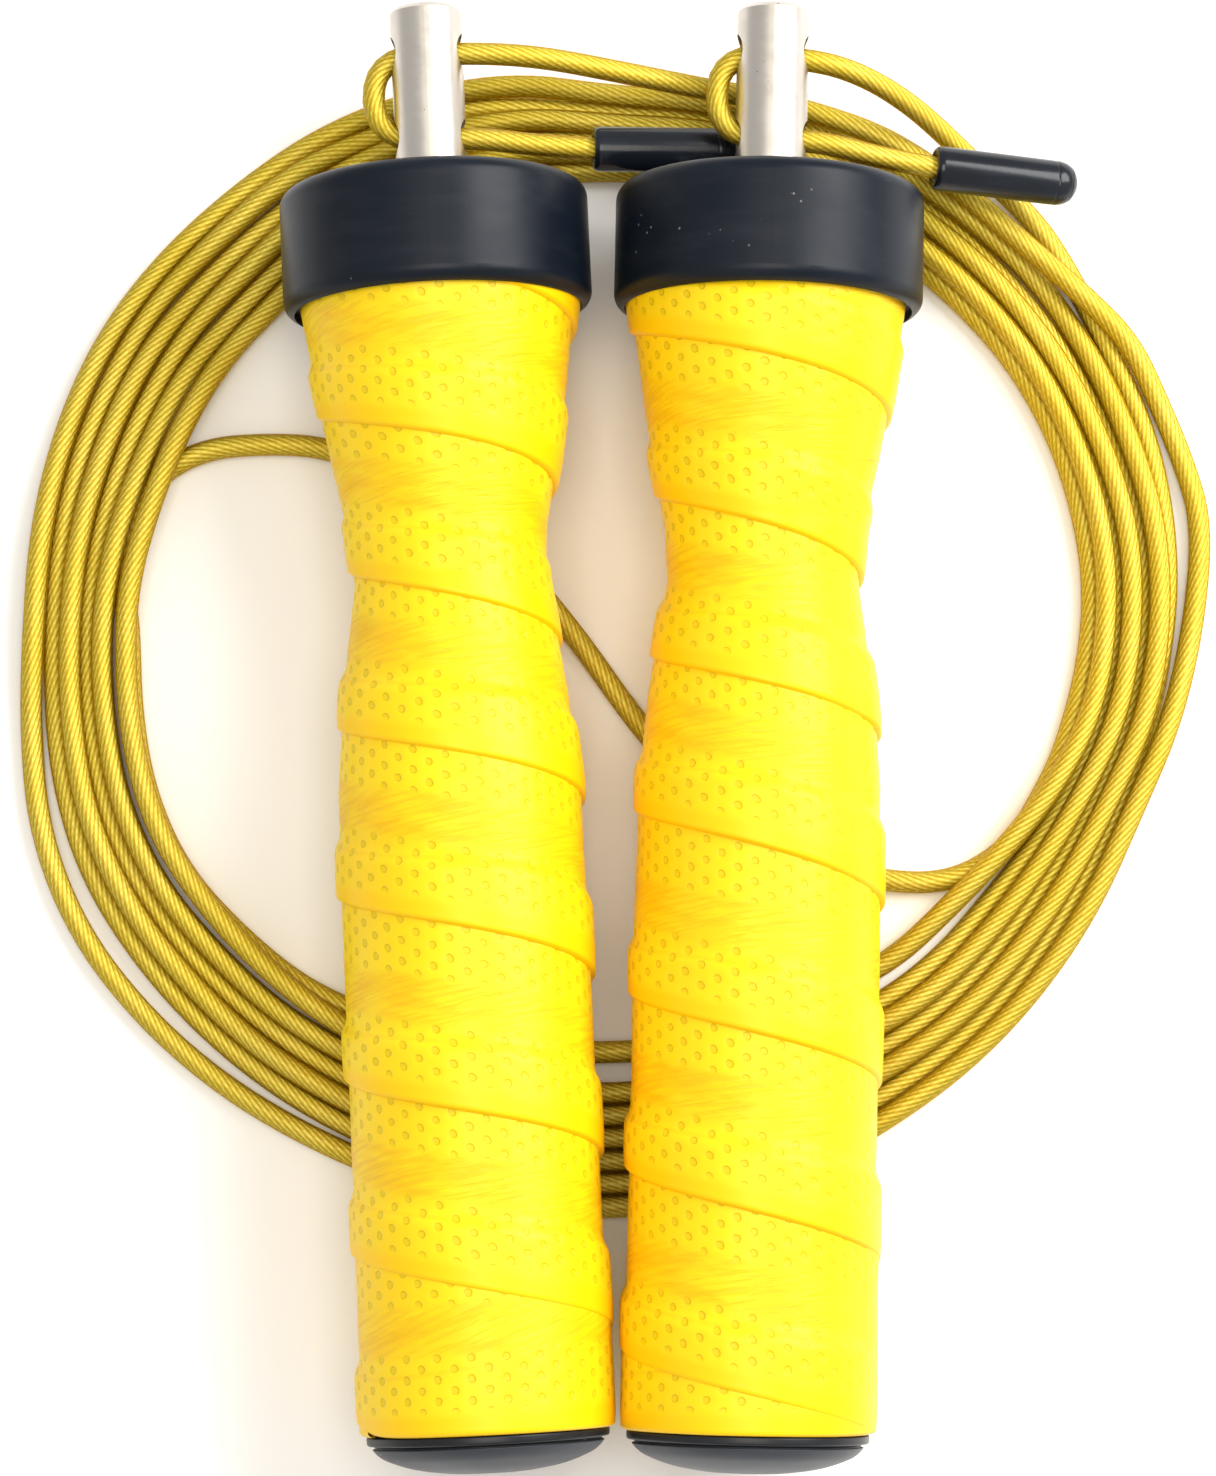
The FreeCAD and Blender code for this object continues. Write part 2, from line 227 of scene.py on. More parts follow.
CROSSING = [
    (-64.6, 21.5, 1.5),
    (-63.8, 29.4, 1.5),
    (-60.7, 36.2, 1.5),
    (-54.2, 40.1, 1.5),
    (-46.2, 40.9, 1.5),
    (-37.0, 40.5, 1.5),
    (-25.0, 35.6, 1.5),
    (-14.2, 27.2, 1.5),
    (-4.4, 15.9, 1.5),
    (5.2, 1.9, 1.5),
    (14.8, -8.4, 1.5),
    (26.0, -15.3, 1.5),
    (37.5, -18.6, 1.5),
    (47.0, -18.6, 1.5),
    (54.8, -13.8, 1.5),
    (59.5, -5.9, 1.5),
]
# The coil's outermost turn and the step from a turn to the next, by clockwise angle from +Y.
OUTERMOST = [
    (0, 76.4), (20, 76.6), (40, 76.4), (60, 76.1), (80, 77.5), (100, 75.4), (112, 73.4), (125, 73.9),
    (140, 74.6), (180, 77.5), (205, 78.2), (225, 78.7), (245, 79.5), (270, 77.0), (290, 78.4), (310, 80.4),
    (330, 82.1), (345, 81.9),
]
STEPS = [
    (0, 1.97), (20, 1.80), (40, 1.66), (60, 1.50), (80, 1.75), (100, 1.68), (112, 1.75), (125, 2.3),
    (140, 2.45), (156, 3.0), (180, 3.0), (196, 3.0), (206, 2.88), (225, 2.6), (245, 2.38), (270, 2.18),
    (290, 2.85), (310, 3.0), (330, 2.6), (345, 2.6),
]
# Between these angles of each lap a strand changes lanes.
LANE_CHANGE = (290.0, 345.0)
# The angle between the coil's points, and where each strand's laps start and end.
STEP_DEG = 10
LEFT_TURNS = (80, 1350)
RIGHT_TURNS = (1185, 60)
# Smooth bumps that take a turn outwards or up from its even lane: (size in mm, angle, width in degrees).
STRAYS = {
    "left": [
        (3.2, 78, 14), (2.6, 238, 24), (1.7, 412, 16), (0.3, 452, 15),
        (-1.7, 1216, 20), (-2.6, 1262, 22), (1.2, 1315, 24), (0.6, 1350, 25),
    ],
    "right": [(2.7, 60, 14), (-0.6, 94, 15), (0.6, 1010, 14), (0.2, 1048, 12), (0.3, 1110, 12)],
}
LIFTS = {"left": [(0.4, 452, 18), (0.9, 1000, 14), (3.2, 1203, 12)], "right": []}
# The left strand's last turn comes down to the floor between these angles.
SETTLES = (1255, 1285)
# The right strand's last whole lap is raised and drawn inwards, mm, over a stretch: the angles where it
# starts, is full, leaves and ends.
RAISED = 3.1
RAISED_AT = (917, 940, 1012, 1032)
DRAWN_IN = 1.1
DRAWN_IN_AT = (925, 955, 1012, 1032)
# The right strand also rises where it changes lanes, until this fades out before the last change.
LANE_RISE = (1.3, 324, 13)
LANE_RISE_FADES = (1020, 1040)


def around(knots, angle):
    """The eased value at an angle of a list of (angle, value) that closes on itself."""
    angle %= 360
    closed = knots + [(knots[0][0] + 360, knots[0][1])]
    for (a, low), (b, high) in zip(closed, closed[1:]):
        if a <= angle <= b:
            return low + (high - low) * smooth(angle, a, b)


def bumps(table, angle):
    """The sum at an angle of a table's smooth bumps, mm."""
    return sum(size * math.exp(-(((angle - centre) / width) ** 2)) for size, centre, width in table)


def coil_point(strand, angle):
    """Where a strand of the coil lies, mm. The two strands take every second lane, and each moves two lanes
    inwards, once a lap, at the coil's left. The right strand is the inner and lower one of a pair."""
    laps = math.floor(angle / 360)
    lane = 2 * (laps + smooth(angle - 360 * laps, *LANE_CHANGE))
    step = around(STEPS, angle)
    stray = bumps(STRAYS[strand], angle)
    lift = bumps(LIFTS[strand], angle)
    settled = 0.0
    if strand == "left":
        settled = smooth(angle, *SETTLES)
    else:
        lane += 1
        stray -= DRAWN_IN * band(angle, *DRAWN_IN_AT)
        lift += RAISED * band(angle, *RAISED_AT)
        lift += bumps([LANE_RISE], angle % 360) * (1 - smooth(angle, *LANE_RISE_FADES))
    r = (around(OUTERMOST, angle) - step * lane + stray) / math.cos(math.radians(STEP_DEG / 2))
    gap = step + abs(stray)
    upper_layer = (1 + math.cos(math.pi * lane)) / 2 * (1 - settled)
    rise = math.sqrt(max(0.0, ROPE_D**2 - gap**2)) * upper_layer + lift
    t = math.radians(angle)
    return (COIL_CENTRE[0] + r * math.sin(t), COIL_CENTRE[1] + r * math.cos(t), ROPE_D / 2 + rise)


def spindle_loop(side):
    """The rope goes through the lower hole, round outside the spindle and back through the upper hole."""
    corners = [
        (HOLE_MOUTH, LOWER_HOLE),
        (LOOP_OUT, LOWER_HOLE),
        (LOOP_OUT, UPPER_HOLE),
        (HOLE_MOUTH, UPPER_MOUTH[side]),
    ]
    return [handle_points(side, across, along) for across, along in corners]


def rope_route():
    route = LEFT_TAIL + spindle_loop("left") + LEFT_LEAD
    route += [coil_point("left", angle) for angle in range(LEFT_TURNS[0], LEFT_TURNS[1] + 1, STEP_DEG)]
    route += CROSSING
    route += [coil_point("right", angle) for angle in range(RIGHT_TURNS[0], RIGHT_TURNS[1] - 1, -STEP_DEG)]
    return route + RIGHT_LEAD[::-1] + spindle_loop("right")[::-1] + RIGHT_TAIL[::-1]


def spline_points(control, per_span):
    """Points in metres along the smooth NURBS line whose control points are given in mm."""
    curve = bpy.data.curves.new("route", "CURVE")
    curve.dimensions = "3D"
    spline = curve.splines.new("NURBS")
    spline.points.add(len(control) - 1)
    for point, (x, y, z) in zip(spline.points, control):
        point.co = (x * MM, y * MM, z * MM, 1.0)
    spline.order_u = 3
    spline.use_endpoint_u = True
    spline.resolution_u = per_span
    line = bpy.data.objects.new("route", curve)
    bpy.context.scene.collection.objects.link(line)
    bpy.context.view_layer.update()
    mesh = bpy.data.meshes.new_from_object(line)
    points = np.array([v.co for v in mesh.vertices])
    bpy.data.objects.remove(line)
    bpy.data.curves.remove(curve)
    bpy.data.meshes.remove(mesh)
    return points


def frames_along(path):
    """Distance along a path, and two directions across it that don't spin, at each of its points."""
    tangent = np.gradient(path, axis=0)
    tangent /= np.linalg.norm(tangent, axis=1)[:, None]
    travel = np.concatenate([[0.0], np.cumsum(np.linalg.norm(np.diff(path, axis=0), axis=1))])
    first = np.cross(tangent[0], (0.0, 0.0, 1.0))
    side = np.empty_like(path)
    side[0] = first / np.linalg.norm(first)
    for i in range(1, len(path)):
        flat = side[i - 1] - tangent[i] * np.dot(side[i - 1], tangent[i])
        side[i] = flat / np.linalg.norm(flat)
    return travel, side, np.cross(tangent, side)


def tube(path, radii, sides, twist=None):
    """Rings of points about a path. radii is one value per side and ring, in metres."""
    travel, side, up = frames_along(path)
    angle = np.arange(sides) * 2 * math.pi / sides
    angle = angle[None, :] + (0 if twist is None else twist(travel)[:, None])
    ring = np.cos(angle)[..., None] * side[:, None] + np.sin(angle)[..., None] * up[:, None]
    points = path[:, None] + ring * radii[..., None]
    return points.reshape(-1, 3), travel


# ---------------------------------------------------------------- the rope
STRANDS = 11
STRAND_PEAK = 1.33 * MM
STRAND_VALLEY = 1.12 * MM
LAY_LENGTH = 17.5 * MM
COAT_R = 1.5 * MM
COAT_SIDES = 14
POINTS_PER_SPAN = 12


def strand_material():
    """Bright steel strands, each laid from fine wires. Painted shade darkens the grooves between the wires
    and the valleys between the strands.
    """
    n = Nodes("rope_strands")
    split = n.add("SeparateXYZ", {0: n.attribute("lay")})
    crown = n.ramp(split.outputs["Z"], 0.08, 0.75)
    slant = n.math("MULTIPLY", split.outputs["Z"], 5.0)
    wires = n.ramp(n.math("SINE", n.math("MULTIPLY_ADD", split.outputs["X"], 6.2, slant)), -0.6, 0.8)
    worn = n.noise(n.place(), 130.0, 4.0)
    colour = n.mix(n.ramp(worn, 0.35, 0.7), (0.95, 0.91, 0.66), (1.0, 0.99, 0.86))
    # Painted shade: the grooves between the fine wires are darkened.
    colour = n.mix(n.math("MULTIPLY_ADD", wires, -0.42, 0.42), colour, (0.56, 0.47, 0.24))
    # Painted shade: the valleys between the strands are darkened towards a deep amber.
    colour = n.mix(crown, (0.46, 0.33, 0.07), colour)
    bump = n.bump(wires, 0.35, 0.00005)
    inputs = {"Base Color": colour, "Metallic": 0.05, "Roughness": 0.32, "Normal": bump}
    return n.finish(n.add("BsdfPrincipled", inputs))


def coat_material():
    """Clear yellow vinyl: it tints what lies under it and is itself seen at its edges."""
    n = Nodes("rope_coat")
    cloud = n.noise(n.place(), 60.0, 3.0)
    tint = n.mix(n.ramp(cloud, 0.3, 0.7), (0.985, 0.95, 0.40), (0.99, 0.965, 0.48))
    clear = n.add("BsdfTransparent", {"Color": tint})
    scuff = n.noise(n.place(), 900.0, 4.0, 0.6)
    rough = n.ramp(scuff, 0.3, 0.8, 0.14, 0.30)
    body = n.add(
        "BsdfPrincipled",
        {"Base Color": (1.0, 0.62, 0.015), "Roughness": rough, "Normal": n.bump(scuff, 0.2, 0.00003)},
    )
    body.inputs["IOR"].default_value = 1.53
    edge = n.add("Fresnel", {"IOR": 1.40})
    share = n.math("MULTIPLY_ADD", edge.outputs[0], 1.15, 0.02, clamp=True)
    return n.finish(n.add("MixShader", {0: share, 1: clear.outputs[0], 2: body.outputs[0]}))


path = spline_points(rope_route(), POINTS_PER_SPAN)
# Round the rope, every second point is the crown of a strand and the others lie between strands.
crown = (np.arange(2 * STRANDS) % 2 == 0).astype(float)
strand_radii = np.tile(STRAND_VALLEY + (STRAND_PEAK - STRAND_VALLEY) * crown, (len(path), 1))
strand_points, travel = tube(path, strand_radii, 2 * STRANDS, lambda s: 2 * math.pi * s / LAY_LENGTH)
strand_faces = grid_faces(len(path), 2 * STRANDS, True)
strands = mesh_object("rope_strands", strand_points, strand_faces, strand_material())
lay = np.zeros((len(path), 2 * STRANDS, 3))
lay[..., 0] = (travel / MM)[:, None]
lay[..., 2] = crown[None, :]
add_vectors(strands, "lay", lay.reshape(-1, 3))
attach(strands, "rope")

coat_path = path[::2] if len(path) % 2 else np.vstack([path[::2], path[-1]])
coat_points, _ = tube(coat_path, np.full((len(coat_path), COAT_SIDES), COAT_R), COAT_SIDES)
coat_faces = grid_faces(len(coat_path), COAT_SIDES, True)
coat = mesh_object("rope_coat", coat_points, coat_faces, coat_material())
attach(coat, "rope")
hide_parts("rope_coil", "rope_crossing", "rope_left_end", "rope_right_end")


# ---------------------------------------------------------------- the wound tape of the grips
# The wound grip's mean radius along the handle, mm.
GRIP_ALONG = [-110.0, -89.4, -55.0, -25.0, -8.0, 4.0, 12.3, 19.0, 26.0, 35.0, 44.8, 56.0, 62.0]
GRIP_R = [16.35, 16.35, 16.2, 16.2, 16.0, 15.0, 13.8, 12.8, 13.3, 15.1, 16.7, 18.4, 18.9]
# Where each turn's lower edge passes the handle's left side, from the collar to the butt, mm.
TAPE_EDGES = {
    "left": [86.0, 63.0, 41.7, 21.2, 0.9, -21.0, -44.4, -66.8, -88.4, -111.0, -133.0],
    "right": [95.0, 73.3, 51.9, 30.3, 9.3, -10.9, -34.6, -56.8, -79.8, -102.0, -124.0],
}
# The edge closes up to this place along the handle, and the tape ends where a turn shows less than
# LEAST_SHOWING of itself, mm.
LAST_EDGE = -90.2
LAST_EASE = 0.35
LEAST_SHOWING = 0.4
# The tape's mesh: the distance between rows up its width and between columns along its length, mm. The dots
# are staggered, DOT_ROW rows and half of DOT_COLUMN columns apart.
ROW = 1.33 / 3
COLUMN = 0.44
DOT_ROW = 3
DOT_COLUMN = 10
DOT_DEPTH = 0.12
TAPE_ROWS = 58
# From the tape's lower edge to the middle of its width, where its length is measured, mm.
MIDDLE = 10.0
# How far a turn goes on under the one before it, how far the tape lies inside GRIP_R, and how far it is
# raised where it passes over the turn beneath.
TUCK = 1.2
UNDER = 0.30
LAYER = 0.75
LAST_SWELL = 0.4
# The rolled lower edge: (up the tape, outwards) from the first row, mm.
LIP = [(0.3, -0.98), (-0.42, -0.92), (-0.46, -0.66), (-0.32, -0.34), (-0.14, -0.10)]
EDGE_ROUNDING = 0.10
FOLD_IN = 1.4
# The plain margin and the overlap each swing between two widths as the tape goes round the handle, mm.
MARGIN = 2.6
MARGIN_SWING = 0.6
OVERLAP = 8.05
OVERLAP_SWING = 1.55
# Bands measured from the margin up the tape, mm: stretch creases, and the strip without dots in them.
CREASE_BAND = (6.6, 8.2, 12.6, 14.0)
PLAIN_STRIP = (7.2, 7.8, 13.0, 13.8)
# Unevenness, mm: the edge's drift, the overlap's drift, the crinkles in the creases and the tape's thickness.
EDGE_DRIFT = 0.18
OVERLAP_DRIFT = 0.5
CRINKLE = 0.05
UNEVEN = 0.09
# Creases and crinkles slant by this much up the tape for each mm along it.
CREASE_SLANT = 0.36


def edge_along(side, turns):
    """Along the handle, where the tape's lower edge is after so many turns from its start, mm."""
    knots = TAPE_EDGES[side]
    i = np.clip(np.floor(turns).astype(int), 1, len(knots) - 3)
    t = turns - i
    k = np.array(knots)
    before, low, high, after = k[i - 1], k[i], k[i + 1], k[i + 2]
    a = 2 * low
    b = high - before
    c = 2 * before - 5 * low + 4 * high - after
    d = 3 * low - before - 3 * high + after
    wound = 0.5 * (a + b * t + c * t**2 + d * t**3)
    return LAST_EDGE + LAST_EASE * np.log1p(np.exp((wound - LAST_EDGE) / LAST_EASE))


def tape_material():
    """Yellow overgrip: pressed dots, slanting stretch creases, a plain margin and a faint buried edge.
    Painted shade darkens the insides of the dots, their rims and the creases.
    The attribute tape holds the place along, up and past the overlap in mm, and zones says what is where."""
    n = Nodes("grip_tape")
    where = n.add("SeparateXYZ", {0: n.attribute("tape")})
    zones = n.add("SeparateXYZ", {0: n.attribute("zones")})
    s, w, past_overlap = where.outputs["X"], where.outputs["Y"], where.outputs["Z"]
    dots_here, creases_here, margin_here = zones.outputs["X"], zones.outputs["Y"], zones.outputs["Z"]
    wobble = n.noise(n.add("CombineXYZ", {0: s, 1: w}), 0.9, 1.0)
    wobble = n.math("MULTIPLY_ADD", wobble, 0.3, -0.15)
    across, along = n.math("ADD", s, wobble), n.math("SUBTRACT", w, wobble)
    nearest = None
    for shift in (0.0, 0.5):
        far = []
        for value, pitch in ((across, DOT_COLUMN * COLUMN), (along, 2 * DOT_ROW * ROW)):
            cell = n.math("FRACT", n.math("ADD", n.math("DIVIDE", value, pitch), shift))
            far.append(n.math("MULTIPLY", n.math("SUBTRACT", cell, 0.5), pitch))
        distance = n.math("SQRT", n.math("ADD", n.math("POWER", far[0], 2.0), n.math("POWER", far[1], 2.0)))
        nearest = distance if nearest is None else n.math("MINIMUM", nearest, distance)
    inside = n.math("MULTIPLY", n.ramp(nearest, 0.56, 0.40), dots_here)
    off_rim = n.math("ABSOLUTE", n.math("SUBTRACT", nearest, 0.47))
    ring = n.math("MULTIPLY", n.ramp(off_rim, 0.14, 0.0), dots_here)

    slanted = n.math("MULTIPLY_ADD", s, -CREASE_SLANT, w)
    crease_place = n.add("CombineXYZ", {0: n.math("MULTIPLY", s, 0.13), 1: n.math("MULTIPLY", slanted, 1.5)})
    creases = n.noise(crease_place, 1.0, 4.0, 0.6, 0.4)
    creases = n.math("MULTIPLY", n.ramp(creases, 0.42, 0.66), creases_here)
    stretch_place = n.add("CombineXYZ", {0: n.math("MULTIPLY", s, 0.1), 1: n.math("MULTIPLY", w, 0.35)})
    stretch = n.noise(stretch_place, 1.0, 2.0)
    grain = n.noise(n.place(), 2200.0, 3.0, 0.6)
    patches = n.noise(n.place(), 45.0, 3.0)

    buried_edge = n.ramp(n.math("ABSOLUTE", past_overlap), 0.5, 0.0)
    colour = n.mix(n.ramp(patches, 0.3, 0.7), (0.94, 0.62, 0.005), (0.95, 0.68, 0.008))
    colour = n.mix(n.math("MULTIPLY", creases_here, n.ramp(stretch, 0.35, 0.65)), colour, (0.93, 0.56, 0.004))
    colour = n.mix(n.math("MULTIPLY", margin_here, 0.80), colour, (0.97, 0.58, 0.001))
    colour = n.mix(n.math("MULTIPLY", buried_edge, 0.28), colour, (0.84, 0.46, 0.003))
    # Painted shade in the stretch creases.
    colour = n.mix(n.math("MULTIPLY", creases, 0.50), colour, (0.80, 0.44, 0.004))
    # Painted shade inside each dimpled dot.
    colour = n.mix(n.math("MULTIPLY", inside, 0.75), colour, (0.74, 0.53, 0.004))
    # Painted shade: a dark ring along each dimple's rim.
    colour = n.mix(n.math("MULTIPLY", ring, 0.65), colour, (0.50, 0.36, 0.005))
    height = n.math("MULTIPLY_ADD", inside, -0.6, n.math("MULTIPLY", creases, -0.7))
    height = n.math("MULTIPLY_ADD", grain, 0.12, height)
    bump = n.bump(height, 0.6, 0.00012)
    rough = n.ramp(grain, 0.3, 0.8, 0.36, 0.50)
    shader = n.add("BsdfPrincipled", {"Base Color": colour, "Roughness": rough, "Normal": bump})
    shader.inputs["Specular IOR Level"].default_value = 0.25
    return n.finish(shader)


def tape_columns(side):
    """For each column of the tape's mesh, how many turns and how many mm it is from the tape's start."""
    turns, travel, turn = [], [], 1.0
    while float(edge_along(side, np.array(turn - 1.0)) - edge_along(side, np.array(turn))) > LEAST_SHOWING:
        turns.append(turn)
        travel.append(len(travel) * COLUMN)
        middle = float(edge_along(side, np.array(turn))) + MIDDLE
        turn += COLUMN / (2 * math.pi * float(np.interp(middle, GRIP_ALONG, GRIP_R)))
    return np.array(turns)[None, :], np.array(travel)[None, :]


def dot_shape(columns):
    """1 at a dot's middle, a half next to it and 0 elsewhere, for each point of the tape's mesh."""
    row = np.arange(TAPE_ROWS)[:, None] % (2 * DOT_ROW)
    column = np.arange(columns)[None, :] % DOT_COLUMN
    first = np.minimum(row, 2 * DOT_ROW - row) + np.minimum(column, DOT_COLUMN - column)
    second = np.abs(row - DOT_ROW) + np.abs(column - DOT_COLUMN // 2)
    return np.clip(1 - np.minimum(first, second) / 2, 0.0, 1.0)


def wound_tape(side, seed, material):
    """One long tape, wound from under the collar to the butt, each turn's lower edge over the next turn."""
    turns, travel = tape_columns(side)
    rows = np.arange(TAPE_ROWS)[:, None] * ROW
    low = edge_along(side, turns) + EDGE_DRIFT * waves(travel * 0.12, 0 * travel, seed)
    pitch = edge_along(side, turns - 1.0) - low
    part = turns % 1.0
    swing = np.cos(2 * math.pi * part)
    margin = MARGIN - MARGIN_SWING * swing
    overlap = OVERLAP - OVERLAP_SWING * swing + OVERLAP_DRIFT * waves(travel * 0.2, 0 * travel, seed + 1)

    up_tape = np.broadcast_to(rows, (TAPE_ROWS, travel.shape[1]))
    along = low + up_tape
    radius = np.interp(along, GRIP_ALONG, GRIP_R) - UNDER
    raised = LAYER * smooth(-up_tape, -overlap - 1.2, -overlap + 1.3)
    not_last = smooth(low, LAST_EDGE + 0.2, LAST_EDGE + 1.6)
    raised = raised * not_last + LAST_SWELL * (1 - not_last) - EDGE_ROUNDING * smooth(-up_tape, -2.2, 0.0)
    past_margin = up_tape - margin
    dots = smooth(past_margin, 0.0, 0.5) * (1 - band(past_margin, *PLAIN_STRIP))
    creases = band(past_margin, *CREASE_BAND)
    plain_margin = 1 - smooth(past_margin, -0.9, 0.5)

    dimple = DOT_DEPTH * dot_shape(travel.shape[1]) * dots
    slanted = up_tape - CREASE_SLANT * travel
    crinkle = CRINKLE * waves(travel * 0.5, slanted * 2.4, seed + 2, 20, 0.9, 1.9) * creases
    uneven = UNEVEN * waves(travel * 0.22, up_tape * 0.3, seed + 3)
    radius = radius + raised - dimple + crinkle + uneven

    lip_w = np.array([w for w, _ in LIP])[:, None]
    lip_r = np.array([r for _, r in LIP])[:, None]
    all_along = np.vstack([low + lip_w, along])
    all_radius = np.vstack([radius[:1] + lip_r, radius])
    all_rows = np.vstack([lip_w + 0 * low, up_tape])
    beyond = np.maximum(all_along - TAPE_START, 0) + np.maximum(TAPE_END - all_along, 0)
    all_along = np.clip(all_along, TAPE_END, TAPE_START)
    ends = np.interp(all_along, GRIP_ALONG, GRIP_R)
    folded = np.minimum(all_radius, ends + LAYER) - np.minimum(beyond, FOLD_IN)
    all_radius = np.where(beyond > 0, folded, all_radius)
    angle = math.pi - 2 * math.pi * part + 0 * all_rows
    points = handle_points(side, all_radius * np.cos(angle), all_along, all_radius * np.sin(angle)) * MM
    count_rows, columns = all_rows.shape
    faces = grid_faces(count_rows, columns)
    hidden = (beyond > 2 * FOLD_IN) | (all_rows > pitch + TUCK)
    faces = faces[~hidden.ravel()[faces].any(axis=1)]
    used = np.unique(faces)
    place = np.full(count_rows * columns, -1)
    place[used] = np.arange(len(used))
    obj = mesh_object(side + "_wound_tape", points.reshape(-1, 3)[used], place[faces], material)
    tape = np.stack([travel + 0 * all_rows, all_rows, all_rows - overlap], -1).reshape(-1, 3)[used]
    lip_zone = np.zeros((len(LIP), columns))
    zones = np.stack(
        [
            np.vstack([lip_zone, dots + 0 * up_tape]),
            np.vstack([lip_zone, creases + 0 * up_tape]),
            np.vstack([lip_zone + 1, plain_margin + 0 * up_tape]),
        ],
        -1,
    )
    add_vectors(obj, "tape", tape)
    add_vectors(obj, "zones", zones.reshape(-1, 3)[used])
    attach(obj, side + "_handle")
    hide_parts(side + "_grip_tape")


tape_look = tape_material()
for number, side in enumerate(SIDES):
    wound_tape(side, 10 + 7 * number, tape_look)


# ---------------------------------------------------------------- finishes of the hard parts
def metal(name, colour, dark, rough, brushed=(300.0, 300.0, 300.0), depth=0.25):
    """Plated or ground metal: fine turned lines, clouded shine and a few tiny pits."""
    n = Nodes(name)
    place = n.place()
    lines = n.noise(n.add("Mapping", {0: place, "Scale": brushed}), 1.0, 4.0, 0.65)
    clouds = n.noise(place, 160.0, 4.0, 0.55)
    pits = n.ramp(n.noise(place, 1400.0, 1.0), 0.24, 0.20)
    shade = n.mix(n.ramp(clouds, 0.35, 0.7), colour, dark)
    shade = n.mix(n.math("MULTIPLY", pits, 0.7), shade, (0.08, 0.07, 0.06))
    streaks = n.ramp(lines, 0.3, 0.7, -0.03, 0.03)
    gloss = n.math("ADD", n.ramp(clouds, 0.3, 0.7, rough - 0.05, rough + 0.07), streaks)
    bump = n.bump(n.math("MULTIPLY_ADD", pits, -1.5, lines), depth, 0.00002)
    inputs = {"Base Color": shade, "Metallic": 1.0, "Roughness": gloss, "Normal": bump}
    return n.finish(n.add("BsdfPrincipled", inputs))


def moulded(name, colour, worn, rough, grain_size, grain_depth, dust=0.5, specular=0.5):
    """Moulded plastic or rubber: a fine grain, faint rub marks and specks of dust."""
    n = Nodes(name)
    place = n.place()
    grain = n.noise(place, grain_size, 3.0, 0.6)
    rubs = n.noise(n.add("Mapping", {0: place, "Scale": (40.0, 320.0, 120.0)}), 1.0, 4.0, 0.6)
    clouds = n.noise(place, 70.0, 3.0)
    cells = n.add("TexVoronoi", {"Vector": place, "Scale": 640.0, "Randomness": 1.0})
    dusty = n.ramp(clouds, 0.60, 0.66)
    specks = n.math("MULTIPLY", n.ramp(cells.outputs["Distance"], 0.13, 0.07), dusty)
    shade = n.mix(n.ramp(rubs, 0.45, 0.8), colour, worn)
    shade = n.mix(n.math("MULTIPLY", specks, dust), shade, (0.55, 0.52, 0.48))
    rubbed = n.ramp(rubs, 0.4, 0.8, 0.0, 0.07)
    gloss = n.math("ADD", n.ramp(clouds, 0.3, 0.7, rough - 0.05, rough + 0.06), rubbed)
    bump = n.bump(grain, 0.35, grain_depth)
    shader = n.add("BsdfPrincipled", {"Base Color": shade, "Roughness": gloss, "Normal": bump})
    shader.inputs["Specular IOR Level"].default_value = specular
    return n.finish(shader)


# The depth of a moulded grain, m, and how the lines of a worked metal are squeezed along x, y and z.
FINE_GRAIN = 0.00002
GRAIN = 0.00003
COARSE_GRAIN = 0.00005
TURNED = (500.0, 1200.0, 500.0)
GROUND = (900.0, 900.0, 3000.0)

spindle_metal = metal("spindle_metal", (0.66, 0.61, 0.54), (0.62, 0.58, 0.53), 0.34, TURNED, 0.08)
fastener_steel = metal("fastener_steel", (0.52, 0.52, 0.53), (0.40, 0.40, 0.41), 0.28)
bearing_steel = metal("bearing_steel", (0.66, 0.67, 0.68), (0.58, 0.58, 0.60), 0.16, GROUND)
bearing_cage = moulded(
    "bearing_cage", (0.030, 0.028, 0.026), (0.05, 0.045, 0.04), 0.42, 2500.0, FINE_GRAIN
)
collar_black = moulded(
    "collar_black", (0.004, 0.007, 0.013), (0.009, 0.012, 0.019), 0.36, 2600.0, GRAIN, 0.3, 0.2
)
core_plastic = moulded(
    "core_plastic", (0.030, 0.030, 0.032), (0.045, 0.045, 0.047), 0.45, 1800.0, GRAIN
)
cap_black = moulded(
    "cap_black", (0.010, 0.011, 0.013), (0.020, 0.022, 0.026), 0.34, 2200.0, GRAIN, 0.3, 0.3
)
cap_satin = moulded(
    "cap_satin", (0.030, 0.034, 0.042), (0.045, 0.050, 0.060), 0.44, 2200.0, COARSE_GRAIN, 0.4, 0.4
)
vinyl_tip = moulded(
    "vinyl_tip", (0.006, 0.008, 0.012), (0.012, 0.015, 0.021), 0.20, 1500.0, FINE_GRAIN, 0.3, 0.35
)


def wear(obj, material):
    """Gives a CAD node one finish."""
    if not obj.material_slots:
        obj.data.materials.append(material)
    for material_slot in obj.material_slots:
        material_slot.material = material


FINISHES = {
    "spindle": spindle_metal,
    "spindle_nut": fastener_steel,
    "spindle_washer": fastener_steel,
    "bearing_spacer": fastener_steel,
    "outer_race_spacer": fastener_steel,
    "bearing_circlip": bearing_steel,
    "collar": collar_black,
    "handle_core": core_plastic,
    "front_inner_race": bearing_steel,
    "front_outer_race": bearing_steel,
    "front_balls": bearing_steel,
    "front_cage": bearing_cage,
    "rear_inner_race": bearing_steel,
    "rear_outer_race": bearing_steel,
    "rear_balls": bearing_steel,
    "rear_cage": bearing_cage,
}
for side in SIDES:
    for part, finish in FINISHES.items():
        wear(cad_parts[side + "_" + part], finish)


# ---------------------------------------------------------------- turned pieces: butt caps and rope tips
WOBBLE_ALONG = 0.6
WOBBLE_ROUND = 3
WOBBLE_SEED = 5
CAP_SIDES = 96
TIP_SIDES = 48
TIP_WOBBLE = 0.004
# The cap's face is satin beyond this place along the handle, and its rim is black.
DOME_START = -92.1
